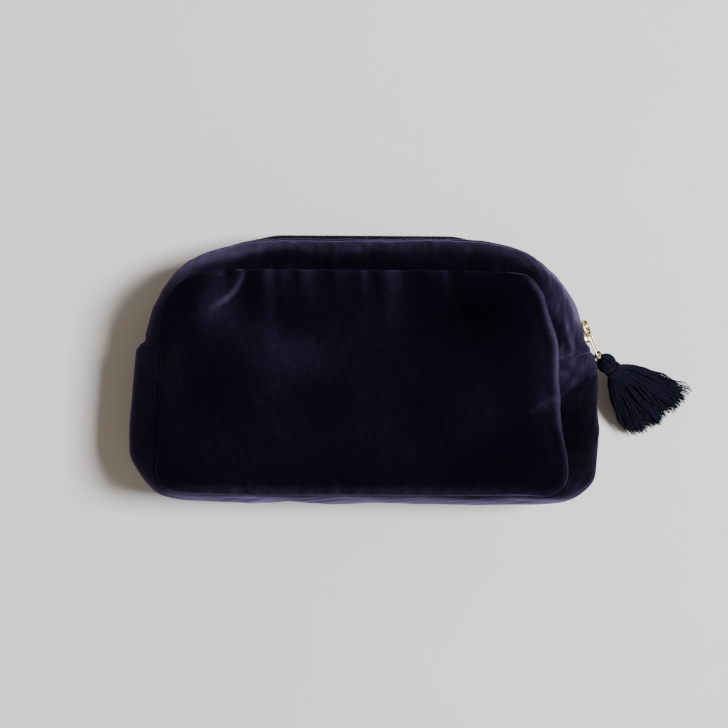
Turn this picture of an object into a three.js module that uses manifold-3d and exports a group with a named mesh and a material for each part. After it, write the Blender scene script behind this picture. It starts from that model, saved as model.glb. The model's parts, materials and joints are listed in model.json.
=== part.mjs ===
// A zippered velvet pouch with a tassel on its zip puller, lying on its back.
//
// The shell is sewn from a front and a rear panel, a base gusset round the bottom and lower sides, and two
// facings that hold the zip over the top. Each panel has wadding and lining behind the velvet. The gusset
// bulges from the seams of the panels out to a crest at mid depth, where the zip runs.
//
// X is the width, Y runs from the base to the zip and Z is the depth, up from the surface that the pouch
// lies on. The origin is the centre of the rear panel's outer face. Millimetres.
import * as THREE from "three";
import { mergeVertices } from "three/addons/utils/BufferGeometryUtils.js";
import Module from "manifold-3d";

const wasm = await Module();
wasm.setup();

// Overall size and the two outlines, given round a centre that slides from -CORNER_X to CORNER_X.
const DEPTH = 54.6;
const MID = DEPTH / 2;
const CORNER_X = 37;
const CORNER_Y = -8;
const ZIP_RADIUS = 70;
const CREST = { side: ZIP_RADIUS, up: ZIP_RADIUS, upPower: 2, down: 54.5, downPower: 6, flare: 0.055 };
const SEAM = { side: 54, up: 54, upPower: 4, down: 50.5, downPower: 6, flare: 0.08 };
const BULGE_POWER = 1.3;
const BULGE_STEPS = 5;

// Cloth thicknesses, and the gap that neighbouring pieces keep.
const GAP = 0.3;
const VELVET = 1.6;
const WADDING = 2.5;
const LINING = 0.8;
const TAPE = 0.6;
const BASE_WADDING = 1.5;

// The zip: half the width that shows between the facings, its coils, tapes and stops.
const LIP = 5;
const LINING_LIP = 6.2;
const COIL_INNER = 0.5;
const COIL_OUTER = 2.6;
const COIL_PROUD = 0.6;
const TAPE_WIDTH = 13;
const ZIP_END = THREE.MathUtils.degToRad(13.6);
const STOP_START = THREE.MathUtils.degToRad(14.4);
const COIL_START = THREE.MathUtils.degToRad(16.4);
const CORNER_END = THREE.MathUtils.degToRad(85);
const END_GAP = 0.4 / ZIP_RADIUS;

// The slider, its bridge and the wire puller.
const SLIDER_ANGLE = THREE.MathUtils.degToRad(21.3);
const SLIDER_LENGTH = 11;
const SLIDER_HALF_WIDTH = 4.3;
const SLIDER_PLATE = 1.2;
const SLIDER_TOP = 1.0;
const SLIDER_FLOOR = -3.1;
const WIRE = 1.2;
const EYE_X = 0.9;
const EYE_Y = 3.4;
const PULLER_LENGTH = 12.4;
const PULLER_HALF_WIDTH = 2.4;
const PULLER_TILT = THREE.MathUtils.degToRad(2);

// The tassel. Its loop hangs down from the puller's end, and the tassel lies over towards the surface.
const TASSEL_YAW = THREE.MathUtils.degToRad(-39.7);
const TASSEL_PITCH = THREE.MathUtils.degToRad(30);
const LOOP_PITCH = THREE.MathUtils.degToRad(60);
const LOOP_CORD = 1.2;
const LOOP_HALF_WIDTH = 1.9;
const LOOP_LENGTH = 3.5;
const HEAD_RADIUS = 4.8;
const NECK_RADIUS = 2.9;
const BINDING_RADIUS = 4.3;
const BINDING_LENGTH = 3.4;
const SKIRT_LENGTH = 33;
const SKIRT_HALF_WIDTH = 17;
const SKIRT_RISE = 4.6;

// Colours and finishes.
const finish = (color, roughness, metalness = 0) =>
  new THREE.MeshStandardMaterial({ color, roughness, metalness });
const velvet = finish(0x14122a, 0.9);
const wadding = finish(0xe6e3dc, 0.95);
const lining = finish(0x2a2c4a, 0.7);
const tape = finish(0x15172b, 0.85);
const coil = finish(0x10111f, 0.5);
const gold = finish(0xc9a24a, 0.25, 1);
const yarn = finish(0x151830, 0.9);

const pouch = new THREE.Group();

function add(name, geometry, material, parent = pouch) {
  const mesh = new THREE.Mesh(geometry, material);
  mesh.name = name;
  parent.add(mesh);
  return mesh;
}

// Distance from the centre to an outline, which is a superellipse in each quarter.
function reach(ring, angle) {
  const sine = Math.sin(angle);
  const [height, power] = sine >= 0 ? [ring.up, ring.upPower] : [ring.down, ring.downPower];
  const across = Math.abs(Math.cos(angle)) / ring.side;
  return (across ** power + (Math.abs(sine) / height) ** power) ** (-1 / power);
}

// A point of the shell: bulge runs from 0 at the panels' seam to 1 at the crest.
function shellPoint(station, bulge, inset, z) {
  const seam = reach(SEAM, station.angle);
  const crest = reach(CREST, station.angle);
  const radius = seam + (crest - seam) * bulge - inset;
  const y = CORNER_Y + radius * Math.sin(station.angle);
  const spread = SEAM.flare * (1 - bulge) + CREST.flare * bulge;
  const flare = 1 + spread * Math.max(0, (CORNER_Y - y) / SEAM.down);
  return new THREE.Vector3((station.x + radius * Math.cos(station.angle)) * flare, y, z);
}

// The bulge is straight between knots at even depths, so that layered pieces stay parallel.
const SEAM_Z = VELVET + GAP;
const KNOTS = Array.from({ length: 2 * BULGE_STEPS + 1 }, (_, i) =>
  MID + ((MID - SEAM_Z) * (i - BULGE_STEPS)) / BULGE_STEPS);

function bulgeAt(z) {
  const step = (z - SEAM_Z) / (KNOTS[1] - KNOTS[0]);
  const below = Math.min(2 * BULGE_STEPS - 1, Math.max(0, Math.floor(step)));
  const [low, high] = [KNOTS[below], KNOTS[below + 1]].map((knot) => {
    const fromCrest = Math.max(0, Math.abs(knot - MID) - LIP) / (MID - SEAM_Z - LIP);
    return 1 - Math.min(1, fromCrest) ** BULGE_POWER;
  });
  return low + (high - low) * Math.min(1, Math.max(0, step - below));
}

// Stations from one angle to another about one end of the sliding centre.
function sweep(x, from, to, steps) {
  const at = (i) => ({ x, angle: from + ((to - from) * i) / steps });
  return Array.from({ length: steps + 1 }, (_, i) => at(i));
}

const QUARTER = Math.PI / 2;
const CORNER_STEPS = 14;
const BASE_STEPS = 16;
const LEAST_TURN = 0.01;

// From the right-hand end of the zip over the top to the left-hand end.
const zipStations = (start, end = Math.PI - start) => [
  ...sweep(CORNER_X, start, QUARTER, CORNER_STEPS),
  ...sweep(-CORNER_X, QUARTER, end, CORNER_STEPS),
];
const cornerStations = (start) => sweep(CORNER_X, start, CORNER_END, CORNER_STEPS);
const restStations = (start) => [
  ...sweep(CORNER_X, CORNER_END + END_GAP, QUARTER, 1),
  ...sweep(-CORNER_X, QUARTER, Math.PI - start, CORNER_STEPS),
];

// From the left-hand end of the zip round the base to the right-hand end.
const baseStations = () => [
  ...sweep(-CORNER_X, Math.PI - ZIP_END + END_GAP, Math.PI, 2).slice(0, -1),
  ...sweep(-CORNER_X, Math.PI, 3 * QUARTER, BASE_STEPS),
  ...sweep(CORNER_X, -QUARTER, 0, BASE_STEPS),
  ...sweep(CORNER_X, 0, ZIP_END - END_GAP, 2).slice(1),
];

// A closed solid through a row of rings that all have the same number of points. The second half of a ring
// takes the other diagonal, so that the two faces of a band of cloth are split alike and stay parallel.
function loft(rings, closed = false) {
  const count = rings[0].length;
  const positions = rings.flat().flatMap((p) => [p.x, p.y, p.z]);
  const index = [];
  const quads = closed ? rings.length : rings.length - 1;
  for (let i = 0; i < quads; i++)
    for (let j = 0; j < count; j++) {
      const here = i * count;
      const next = ((i + 1) % rings.length) * count;
      const k = (j + 1) % count;
      const [a, b, c, d] = [here + j, here + k, next + k, next + j];
      index.push(...(j < count / 2 ? [a, b, c, a, c, d] : [a, b, d, b, c, d]));
    }
  if (!closed) index.push(...cap(rings[0], 0, true), ...cap(rings.at(-1), (rings.length - 1) * count, false));
  const geometry = new THREE.BufferGeometry();
  geometry.setAttribute("position", new THREE.Float32BufferAttribute(positions, 3));
  geometry.setIndex(index);
  return facingOut(geometry);
}

// The end face of a loft, as a ladder between the two halves of its ring.
function cap(ring, first, flipped) {
  const faces = [];
  for (let low = 0, high = ring.length - 1; low < high - 1; low++, high--) {
    faces.push([low, low + 1, high]);
    if (low + 1 < high - 1) faces.push([low + 1, high - 1, high]);
  }
  return faces.flatMap((f) => (flipped ? [f[0], f[2], f[1]] : f)).map((i) => i + first);
}

function facingOut(geometry) {
  const p = geometry.getAttribute("position");
  const index = Array.from(geometry.index.array);
  let volume = 0;
  for (let i = 0; i < index.length; i += 3) {
    const [a, b, c] = [0, 1, 2].map((k) => new THREE.Vector3().fromBufferAttribute(p, index[i + k]));
    volume += a.dot(b.cross(c));
  }
  if (volume < 0) geometry.setIndex(index.reverse());
  geometry.computeVertexNormals();
  return geometry;
}

// A strip of cloth along the stations, between two depths and two insets below the shell's surface.
function band(stations, fromZ, toZ, outer, inner) {
  const [low, high] = [Math.min(fromZ, toZ), Math.max(fromZ, toZ)];
  const heights = [low, ...KNOTS.filter((knot) => knot > low + 0.01 && knot < high - 0.01), high];
  const rings = stations.map((station) => [
    ...heights.map((z) => shellPoint(station, bulgeAt(z), outer, z)),
    ...heights.toReversed().map((z) => shellPoint(station, bulgeAt(z), inner, z)),
  ]);
  return loft(rings);
}

// A flat panel with the seam's outline, drawn in by an inset. Points on its straight edges are left out.
function panel(inset, fromZ, thickness) {
  const stations = [...sweep(CORNER_X, -QUARTER, QUARTER, 2 * BASE_STEPS),
    ...sweep(-CORNER_X, QUARTER, 3 * QUARTER, 2 * BASE_STEPS)];
  const points = stations.map((station) => {
    const point = shellPoint(station, 0, inset, 0);
    return new THREE.Vector2(point.x, point.y);
  });
  const bends = (point, i) => {
    const before = point.clone().sub(points.at(i - 1));
    const after = points[(i + 1) % points.length].clone().sub(point);
    return Math.abs(before.cross(after)) > LEAST_TURN * before.length() * after.length();
  };
  const outline = new THREE.Shape(points.filter(bends));
  const plate = new THREE.ExtrudeGeometry(outline, { depth: thickness, bevelEnabled: false });
  return plate.translate(0, 0, fromZ);
}

// Joins closed geometries into one solid.
function solid(geometry) {
  const bare = geometry.index ? geometry.toNonIndexed() : geometry.clone();
  bare.deleteAttribute("normal");
  bare.deleteAttribute("uv");
  const merged = mergeVertices(bare, 1e-3);
  return new wasm.Manifold(new wasm.Mesh({
    numProp: 3,
    vertProperties: merged.attributes.position.array,
    triVerts: new Uint32Array(merged.index.array),
  }));
}

function join(...geometries) {
  const joined = geometries.map(solid).reduce((a, b) => a.add(b)).getMesh();
  const geometry = new THREE.BufferGeometry();
  geometry.setAttribute("position", new THREE.BufferAttribute(joined.vertProperties, 3));
  geometry.setIndex(new THREE.BufferAttribute(joined.triVerts, 1));
  geometry.computeVertexNormals();
  return geometry;
}

function block(x0, x1, y0, y1, z0, z1) {
  const box = new THREE.BoxGeometry(x1 - x0, y1 - y0, z1 - z0);
  return box.translate((x0 + x1) / 2, (y0 + y1) / 2, (z0 + z1) / 2);
}

// Front and rear panels, each velvet over wadding over lining.
function addPanels() {
  const liningInset = VELVET + TAPE + 2 * GAP;
  const layers = [
    ["panel", velvet, 0, 0, VELVET],
    ["wadding", wadding, VELVET + GAP, VELVET + GAP, WADDING],
    ["lining", lining, liningInset, VELVET + WADDING + 2 * GAP, LINING],
  ];
  for (const [name, material, inset, below, thickness] of layers) {
    add(`rear_${name}`, panel(inset, below, thickness), material);
    add(`front_${name}`, panel(inset, DEPTH - below - thickness, thickness), material);
  }
}

// The base gusset, one strip from zip end to zip end, with its own wadding and lining.
function addBase() {
  const seam = VELVET + GAP;
  const waddingOuter = VELVET + GAP;
  const liningOuter = waddingOuter + BASE_WADDING + GAP;
  const liningSeam = VELVET + WADDING + LINING + 3 * GAP;
  add("base_gusset", band(baseStations(), seam, DEPTH - seam, 0, VELVET), velvet);
  add("base_wadding", band(baseStations(), liningSeam, DEPTH - liningSeam,
    waddingOuter, waddingOuter + BASE_WADDING), wadding);
  add("base_lining", band(baseStations(), liningSeam, DEPTH - liningSeam,
    liningOuter, liningOuter + LINING), lining);
}

// One side of the zip: facing, lining, tape and coil. Side is 1 towards the front panel, -1 to the rear.
function addZipSide(side, name, stations, taped) {
  const depth = (z) => MID + side * z;
  const seam = MID - VELVET - GAP;
  const liningSeam = MID - VELVET - WADDING - LINING - 3 * GAP;
  const tapeOuter = VELVET + GAP;
  const liningOuter = tapeOuter + TAPE + GAP;
  add(`zip_facing_${name}`, band(stations, depth(LIP), depth(seam), 0, VELVET), velvet);
  add(`zip_facing_lining_${name}`, band(stations, depth(LINING_LIP), depth(liningSeam),
    liningOuter, liningOuter + LINING), lining);
  add(`zip_tape_${name}`, band(stations, depth(COIL_INNER), depth(TAPE_WIDTH),
    tapeOuter, tapeOuter + TAPE), tape);
  add(`zip_coil_${name}`, band(taped, depth(COIL_INNER), depth(COIL_OUTER),
    -COIL_PROUD, VELVET), coil);
}

function addStops() {
  const stop = (stations, from, to) => band(stations, from, to, -COIL_PROUD - GAP, VELVET);
  const topEnd = sweep(CORNER_X, STOP_START, COIL_START - END_GAP, 1);
  const bottomEnd = sweep(-CORNER_X, Math.PI - COIL_START + END_GAP, Math.PI - STOP_START, 1);
  add("zip_top_stop_front", stop(topEnd, MID + COIL_INNER, MID + COIL_OUTER), gold);
  add("zip_top_stop_rear", stop(topEnd, MID - COIL_OUTER, MID - COIL_INNER), gold);
  add("zip_bottom_stop", stop(bottomEnd, MID - COIL_OUTER, MID + COIL_OUTER), gold);
}

// The slider's plan, wide at the end where the two coils enter. The plan is drawn in X and Z.
function sliderPlate(y) {
  const half = SLIDER_LENGTH / 2;
  const wide = SLIDER_HALF_WIDTH;
  const nose = wide - 0.9;
  const corner = 1.2;
  const plan = new THREE.Shape();
  plan.moveTo(-half + corner, -nose);
  plan.lineTo(half - corner, -wide);
  plan.quadraticCurveTo(half, -wide, half, -wide + corner);
  plan.lineTo(half, wide - corner);
  plan.quadraticCurveTo(half, wide, half - corner, wide);
  plan.lineTo(-half + corner, nose);
  plan.quadraticCurveTo(-half, nose, -half, nose - corner);
  plan.lineTo(-half, -nose + corner);
  plan.quadraticCurveTo(-half, -nose, -half + corner, -nose);
  const plate = new THREE.ExtrudeGeometry(plan, { depth: SLIDER_PLATE, bevelEnabled: false, curveSegments: 4 });
  return plate.rotateX(-QUARTER).translate(0, y, 0);
}

function sliderBody() {
  const half = SLIDER_LENGTH / 2;
  const flangeEnd = half - 1.2;
  const flangeInner = SLIDER_HALF_WIDTH - 1;
  const flangeOuter = SLIDER_HALF_WIDTH - 0.1;
  const flangeFoot = -1.4;
  const postHalf = COIL_INNER - 0.2;
  return join(
    sliderPlate(SLIDER_TOP),
    sliderPlate(SLIDER_FLOOR - SLIDER_PLATE),
    block(0, flangeEnd, flangeFoot, SLIDER_TOP + 0.1, flangeInner, flangeOuter),
    block(0, flangeEnd, flangeFoot, SLIDER_TOP + 0.1, -flangeOuter, -flangeInner),
    block(half - 4, half - 0.6, SLIDER_FLOOR - 0.1, SLIDER_TOP + 0.1, -postHalf, postHalf),
  );
}

// The bridge is a low arch along the slider, with room under it for the puller's eye.
function sliderBridge() {
  const foot = SLIDER_TOP + SLIDER_PLATE + GAP;
  const [left, right, top, wall, round] = [-4.4, 3.4, 5.4, 1.1, 1.4];
  const halfWidth = 1.1;
  const arch = new THREE.Shape();
  arch.moveTo(left, foot);
  arch.lineTo(left, top - round);
  arch.quadraticCurveTo(left, top, left + round, top);
  arch.lineTo(right - round, top);
  arch.quadraticCurveTo(right, top, right, top - round);
  arch.lineTo(right, foot);
  arch.lineTo(right - wall, foot);
  arch.lineTo(right - wall, top - 1);
  arch.lineTo(left + wall, top - 1);
  arch.lineTo(left + wall, foot);
  const bridge = new THREE.ExtrudeGeometry(arch, { depth: 2 * halfWidth, bevelEnabled: false, curveSegments: 4 });
  return bridge.translate(0, 0, -halfWidth);
}

// A closed loop of wire in the X and Z plane, from x = 0 to its length, with round ends.
function wireLoop(length, halfWidth, wire, steps) {
  const round = Math.min(halfWidth, length / 2);
  const path = Array.from({ length: steps }, (_, i) => {
    const angle = (2 * Math.PI * i) / steps;
    const far = Math.cos(angle) > 0 ? length - round : round;
    return new THREE.Vector3(far + round * Math.cos(angle), 0, halfWidth * Math.sin(angle));
  });
  const sides = 8;
  const rings = path.map((point, i) => {
    const before = path[(i + steps - 1) % steps];
    const after = path[(i + 1) % steps];
    const out = new THREE.Vector3(after.z - before.z, 0, before.x - after.x).normalize();
    return Array.from({ length: sides }, (_, k) => {
      const turn = (2 * Math.PI * (k + 0.5)) / sides;
      const offset = out.clone().multiplyScalar((wire / 2) * Math.cos(turn));
      offset.y = (wire / 2) * Math.sin(turn);
      return point.clone().add(offset);
    });
  });
  return loft(rings, true);
}

// Slider and bridge ride on the crest, with the puller hanging from the bridge and the tassel from the puller.
function addSlider() {
  const slider = new THREE.Group();
  slider.position.set(
    CORNER_X + ZIP_RADIUS * Math.cos(SLIDER_ANGLE),
    CORNER_Y + ZIP_RADIUS * Math.sin(SLIDER_ANGLE),
    MID,
  );
  slider.rotation.z = SLIDER_ANGLE - QUARTER;
  pouch.add(slider);
  add("slider_body", sliderBody(), gold, slider);
  add("slider_bridge", sliderBridge(), gold, slider);

  const puller = new THREE.Group();
  puller.position.set(EYE_X, EYE_Y, 0);
  puller.rotation.z = PULLER_TILT;
  slider.add(puller);
  add("zip_puller", wireLoop(PULLER_LENGTH, PULLER_HALF_WIDTH, WIRE, 32), gold, puller);
  return puller;
}

// The skirt fans out along X, flattens where it lies on the surface, and starts as a neck in the binding.
function tasselSkirt(neckStart, skirtStart) {
  const end = skirtStart + SKIRT_LENGTH;
  const line = new THREE.QuadraticBezierCurve3(
    new THREE.Vector3(skirtStart, 0, 0),
    new THREE.Vector3(skirtStart + 0.5 * SKIRT_LENGTH, 0, 0),
    new THREE.Vector3(end, 0, SKIRT_RISE),
  );
  const steps = 8;
  const sides = 16;
  const ring = (centre, halfWidth, halfHeight) => Array.from({ length: sides }, (_, k) => {
    const turn = (2 * Math.PI * k) / sides;
    return new THREE.Vector3(
      centre.x,
      centre.y + halfWidth * Math.cos(turn),
      centre.z + halfHeight * Math.sin(turn),
    );
  });
  const neck = [neckStart, skirtStart - 0.3].map((x) =>
    ring(new THREE.Vector3(x, 0, 0), NECK_RADIUS, NECK_RADIUS));
  const skirt = Array.from({ length: steps + 1 }, (_, i) => {
    const t = i / steps;
    const halfWidth = BINDING_RADIUS + (SKIRT_HALF_WIDTH - BINDING_RADIUS) * t ** 0.9;
    const halfHeight = BINDING_RADIUS + 1.4 * Math.sin(Math.PI * t) - 1.6 * t;
    return ring(line.getPoint(t), halfWidth, halfHeight);
  });
  return loft([...neck, ...skirt]);
}

// The loop hangs from the lowest part of the puller's round end, which it links with.
function addTassel(puller) {
  const yaw = TASSEL_YAW - (SLIDER_ANGLE - QUARTER) - PULLER_TILT;
  const hook = new THREE.Group();
  hook.position.set(
    PULLER_LENGTH - PULLER_HALF_WIDTH * (1 - Math.cos(LOOP_PITCH)),
    0,
    -PULLER_HALF_WIDTH * Math.sin(LOOP_PITCH),
  );
  hook.rotation.set(0, LOOP_PITCH, yaw, "ZYX");
  puller.add(hook);
  const behind = LOOP_CORD / 2 + WIRE / 2 + GAP;
  const loop = wireLoop(LOOP_LENGTH + behind, LOOP_HALF_WIDTH, LOOP_CORD, 24);
  add("tassel_loop", loop.rotateX(QUARTER).translate(-behind, 0, 0), yarn, hook);

  const tassel = new THREE.Group();
  tassel.position.set(LOOP_LENGTH, 0, 0);
  tassel.rotation.set(0, TASSEL_PITCH - LOOP_PITCH, 0);
  hook.add(tassel);
  const headCentre = LOOP_CORD / 2 + GAP + HEAD_RADIUS;
  const head = new THREE.SphereGeometry(HEAD_RADIUS, 20, 12);
  add("tassel_head", head.translate(headCentre, 0, 0), yarn, tassel);

  const bindingStart = headCentre + HEAD_RADIUS - 0.9;
  const half = BINDING_LENGTH / 2;
  const bore = NECK_RADIUS + GAP;
  const ring = [[bore, -half], [BINDING_RADIUS - 0.7, -half], [BINDING_RADIUS, -half + 0.8],
    [BINDING_RADIUS, half - 0.8], [BINDING_RADIUS - 0.7, half], [bore, half], [bore, -half]];
  const binding = new THREE.LatheGeometry(ring.map(([r, y]) => new THREE.Vector2(r, y)), 24);
  const neckClear = Math.sqrt(HEAD_RADIUS ** 2 - bore ** 2);
  const bindingCentre = Math.max(bindingStart, headCentre + neckClear + GAP) + half;
  add("tassel_binding", binding.rotateZ(-QUARTER).translate(bindingCentre, 0, 0), yarn, tassel);

  const neckStart = headCentre + HEAD_RADIUS + GAP;
  add("tassel_skirt", tasselSkirt(neckStart, bindingCentre + half + GAP), yarn, tassel);
}

addPanels();
addBase();
addZipSide(1, "front_corner", cornerStations(ZIP_END), cornerStations(COIL_START));
addZipSide(1, "front", restStations(ZIP_END), restStations(COIL_START));
addZipSide(-1, "rear", zipStations(ZIP_END), zipStations(COIL_START));
addStops();
addTassel(addSlider());

export default pouch;
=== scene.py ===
"""The looks of a navy velvet pouch with a zip and a tassel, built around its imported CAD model.

Lengths are in millimetres in the part's frame and become metres when a mesh is made. The shell is lofted on
stations: each is a ray from a short spine inside the pouch to the seams, and to the crest at mid depth.
"""

import json
import math

import bmesh
import bpy
import numpy as np
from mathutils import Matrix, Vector


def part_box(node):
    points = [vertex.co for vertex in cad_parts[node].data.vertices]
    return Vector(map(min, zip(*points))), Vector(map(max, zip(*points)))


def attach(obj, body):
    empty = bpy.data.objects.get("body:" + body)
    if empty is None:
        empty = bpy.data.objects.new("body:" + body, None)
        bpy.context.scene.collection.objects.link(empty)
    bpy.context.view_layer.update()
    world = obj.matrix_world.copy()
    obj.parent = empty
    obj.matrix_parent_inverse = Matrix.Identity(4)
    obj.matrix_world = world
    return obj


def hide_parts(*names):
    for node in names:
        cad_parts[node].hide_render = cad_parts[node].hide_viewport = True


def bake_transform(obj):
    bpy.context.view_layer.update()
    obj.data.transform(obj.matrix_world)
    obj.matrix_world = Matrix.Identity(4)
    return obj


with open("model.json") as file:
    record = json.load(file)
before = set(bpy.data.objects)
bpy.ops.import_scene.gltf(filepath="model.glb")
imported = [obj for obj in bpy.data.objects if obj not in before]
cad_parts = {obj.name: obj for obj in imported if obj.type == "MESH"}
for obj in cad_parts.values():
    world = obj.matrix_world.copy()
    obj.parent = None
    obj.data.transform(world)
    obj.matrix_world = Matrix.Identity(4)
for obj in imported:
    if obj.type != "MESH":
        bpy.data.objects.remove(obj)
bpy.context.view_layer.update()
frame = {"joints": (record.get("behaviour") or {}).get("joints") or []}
MM = 0.001
JOINTS = {joint["name"]: joint for joint in frame["joints"]}


def joint_place(name):
    return np.array(JOINTS[name]["pos_m"]) / MM


def box_centre(node):
    low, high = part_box(node)
    return np.array((low + high) / 2) / MM


def direction(vector):
    vector = np.array(vector, float)
    return vector / np.linalg.norm(vector)


def smooth(value, low, high):
    """0 below low, 1 above high, and a soft step between them."""
    share = np.clip((value - low) / (high - low), 0, 1)
    return share * share * (3 - 2 * share)


def band(value, middle, width):
    """A soft line, 1 in its middle."""
    return np.exp(-(((value - middle) / width) ** 2))


# ---------------------------------------------------------------- driving dimensions

SPINE_X, SPINE_Y, MID_Z = joint_place("slider_travel")
FRONT_Z = 49.4
REAR_Z = 3.2
ZIP_RADIUS = 70.0
END_RIGHT = math.radians(13.6)
END_LEFT = math.radians(15.0)

FRONT_CROWN = 3.0
EDGE_ROLL = 2.4
EDGE_ROLL_WIDTH = 2.6
PINCH = 1.0
ZIP_FULLNESS = 2.1
BASE_FULLNESS = 2.0
LIP = 4.7
LIP_ROLL = 0.9
STITCHES_FROM_LIP = 2.6
FACING_ROWS = 30
VELVET_THICK = 0.6
FACING_THICK = 0.4
FRONT_INNER_DEEPER = 1.8
TAPE_BELOW = 2.3
TAPE_RADIUS = ZIP_RADIUS - 1.75
TOP_SEAM_Y = 45.3

# Outlines as points that a smooth closed curve passes through, counter-clockwise from the zip's right end.
CREST = [
    (109, 5.4), (107, 9.6), (104.2, 13.4), (102.7, 18.8), (101.7, 23.6), (100.6, 27.4), (99.2, 30.8),
    (97.4, 33.8), (95.2, 37), (92.2, 41.2), (88.2, 45.6), (79, 53), (69.4, 57.4), (59.2, 60), (48, 61.1),
    (0, 61.2), (-36, 61.2), (-53.5, 59.9), (-62.8, 57.6), (-72.2, 54.8), (-81.4, 50.5), (-86.6, 46.3),
    (-90.8, 41.7), (-94, 37.1), (-96.3, 32.4), (-98.9, 27.8), (-101.9, 17), (-103, 12), (-106.4, 10.2),
    (-107.7, 4), (-109.3, -16), (-110, -40), (-106.4, -48), (-99.4, -56.6), (-93.6, -60.3), (-80, -62.5),
    (0, -63.2), (80, -63.5), (95.4, -61.8), (104.6, -56.6), (108.4, -52), (109.8, -46.6), (110.2, -34),
    (110, -14), (109.8, -2)]
FRONT_SEAM = [
    (89.5, 6), (88.2, 16), (84.4, 27.6), (81, 37.4), (74.6, 43.8), (58, 45.4), (0, TOP_SEAM_Y), (-56, 45.2),
    (-74, 43.6), (-86, 37), (-91.5, 25), (-93.2, 4), (-94, -22), (-94.8, -40), (-95, -48.6), (-91, -55.6),
    (-78, -57.8), (0, -58), (74, -57.9), (87, -57), (93.2, -51.4), (93.8, -42), (91, -26), (89.9, -8)]
REAR_SEAM = [
    (92.5, 5), (90.5, 25), (82, 40), (64, 46), (-64, 46), (-82, 40), (-90.5, 25), (-92.5, 5), (-95, -38),
    (-89, -55.5), (-70, -58), (70, -58), (89, -55.5), (95, -38)]


# ---------------------------------------------------------------- curves, stations and meshes

def closed_curve(points, steps=24):
    """A smooth closed curve through the points, with tangents paced by the distances between them."""
    here = np.array(points, float)
    before, after, beyond = np.roll(here, 1, 0), np.roll(here, -1, 0), np.roll(here, -2, 0)
    leg = np.linalg.norm(after - here, axis=1)[:, None]
    leg_before, leg_after = np.roll(leg, 1, 0), np.roll(leg, -1, 0)
    leave = ((after - before) / (leg_before + leg) * leg)[:, None]
    arrive = ((beyond - here) / (leg + leg_after) * leg)[:, None]
    t = np.linspace(0, 1, steps, endpoint=False)[None, :, None]
    curve = ((2 * t**3 - 3 * t**2 + 1) * here[:, None] + (t**3 - 2 * t**2 + t) * leave
             + (3 * t**2 - 2 * t**3) * after[:, None] + (t**3 - t**2) * arrive)
    return curve.reshape(-1, here.shape[1])


def reach(outline, x, angle):
    """How far each station's ray runs from the spine to the outline."""
    edge = np.roll(outline, -1, 0) - outline
    ray = np.stack([np.cos(angle), np.sin(angle)], 1)
    away = outline[None] - np.stack([x, np.full_like(x, SPINE_Y)], 1)[:, None]
    turn = ray[:, :1] * edge[None, :, 1] - ray[:, 1:] * edge[None, :, 0]
    turn = np.where(np.abs(turn) < 1e-12, 1e-12, turn)
    far = (away[..., 0] * edge[None, :, 1] - away[..., 1] * edge[None, :, 0]) / turn
    along = (away[..., 0] * ray[:, 1:] - away[..., 1] * ray[:, :1]) / turn
    hit = (along > -1e-9) & (along < 1 + 1e-9) & (far > 0)
    return np.where(hit, far, np.inf).min(1)


class Stations:
    """Rays from the spine, in order, with their reach to both seams and to the crest."""

    def __init__(self, legs, closed=False):
        x, angle = [], []
        for x0, x1, a0, a1, count in legs:
            x.append(np.linspace(x0, x1, count, endpoint=False))
            angle.append(np.linspace(a0, a1, count, endpoint=False))
        if not closed:
            x.append([legs[-1][1]])
            angle.append([legs[-1][3]])
        self.closed = closed
        self.x, self.angle = np.concatenate(x), np.concatenate(angle)
        self.front = reach(closed_curve(FRONT_SEAM), self.x, self.angle)
        self.rear = reach(closed_curve(REAR_SEAM), self.x, self.angle)
        self.crest = reach(closed_curve(CREST), self.x, self.angle)
        self.right = smooth(self.x + self.front * np.cos(self.angle), 20, 75)
        self.low = smooth(-np.sin(self.angle), 0.3, 0.9)
        self.pinch = PINCH * (0.25 + 0.75 * self.right * (1 - 0.5 * self.low) + 0.1 * self.low)

    def place(self, radius, z):
        """Points at a radius and a depth for each station, as (station, row, 3)."""
        radius = np.broadcast_to(radius, np.broadcast(radius, z).shape)
        z = np.broadcast_to(z, radius.shape)
        x = self.x[:, None] + radius * np.cos(self.angle)[:, None]
        y = SPINE_Y + radius * np.sin(self.angle)[:, None]
        return np.stack([x, y, z], -1)

    def along(self):
        """Distance along the crest from the first station."""
        crest = self.place(self.crest[:, None], np.array([[MID_Z]]))[:, 0]
        step = np.linalg.norm(np.diff(crest, axis=0), axis=1)
        return np.concatenate([[0], np.cumsum(step)])


QUARTER = math.pi / 2
# Runs of stations: the spine's X from and to, the ray's angle from and to, and how many.
ZIP_LEGS = [(SPINE_X, SPINE_X, END_RIGHT, QUARTER, 110), (SPINE_X, -SPINE_X, QUARTER, QUARTER, 80),
            (-SPINE_X, -SPINE_X, QUARTER, math.pi - END_LEFT, 108)]
BASE_LEGS = [(-SPINE_X, -SPINE_X, math.pi - END_LEFT, 3 * QUARTER, 150),
             (-SPINE_X, SPINE_X, 3 * QUARTER, 3 * QUARTER, 80),
             (SPINE_X, SPINE_X, 3 * QUARTER, 4 * QUARTER + END_RIGHT, 150)]
zip_stations = Stations(ZIP_LEGS)
base_stations = Stations(BASE_LEGS)
all_stations = Stations(ZIP_LEGS + BASE_LEGS, closed=True)


def grid_faces(rows, columns, wrap_rows=False, wrap_columns=False):
    """Quads over a grid of points, closed on itself where it wraps."""
    faces = []
    for i in range(rows if wrap_rows else rows - 1):
        for j in range(columns if wrap_columns else columns - 1):
            i1, j1 = (i + 1) % rows, (j + 1) % columns
            faces.append((i * columns + j, i1 * columns + j, i1 * columns + j1, i * columns + j1))
    return faces


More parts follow.
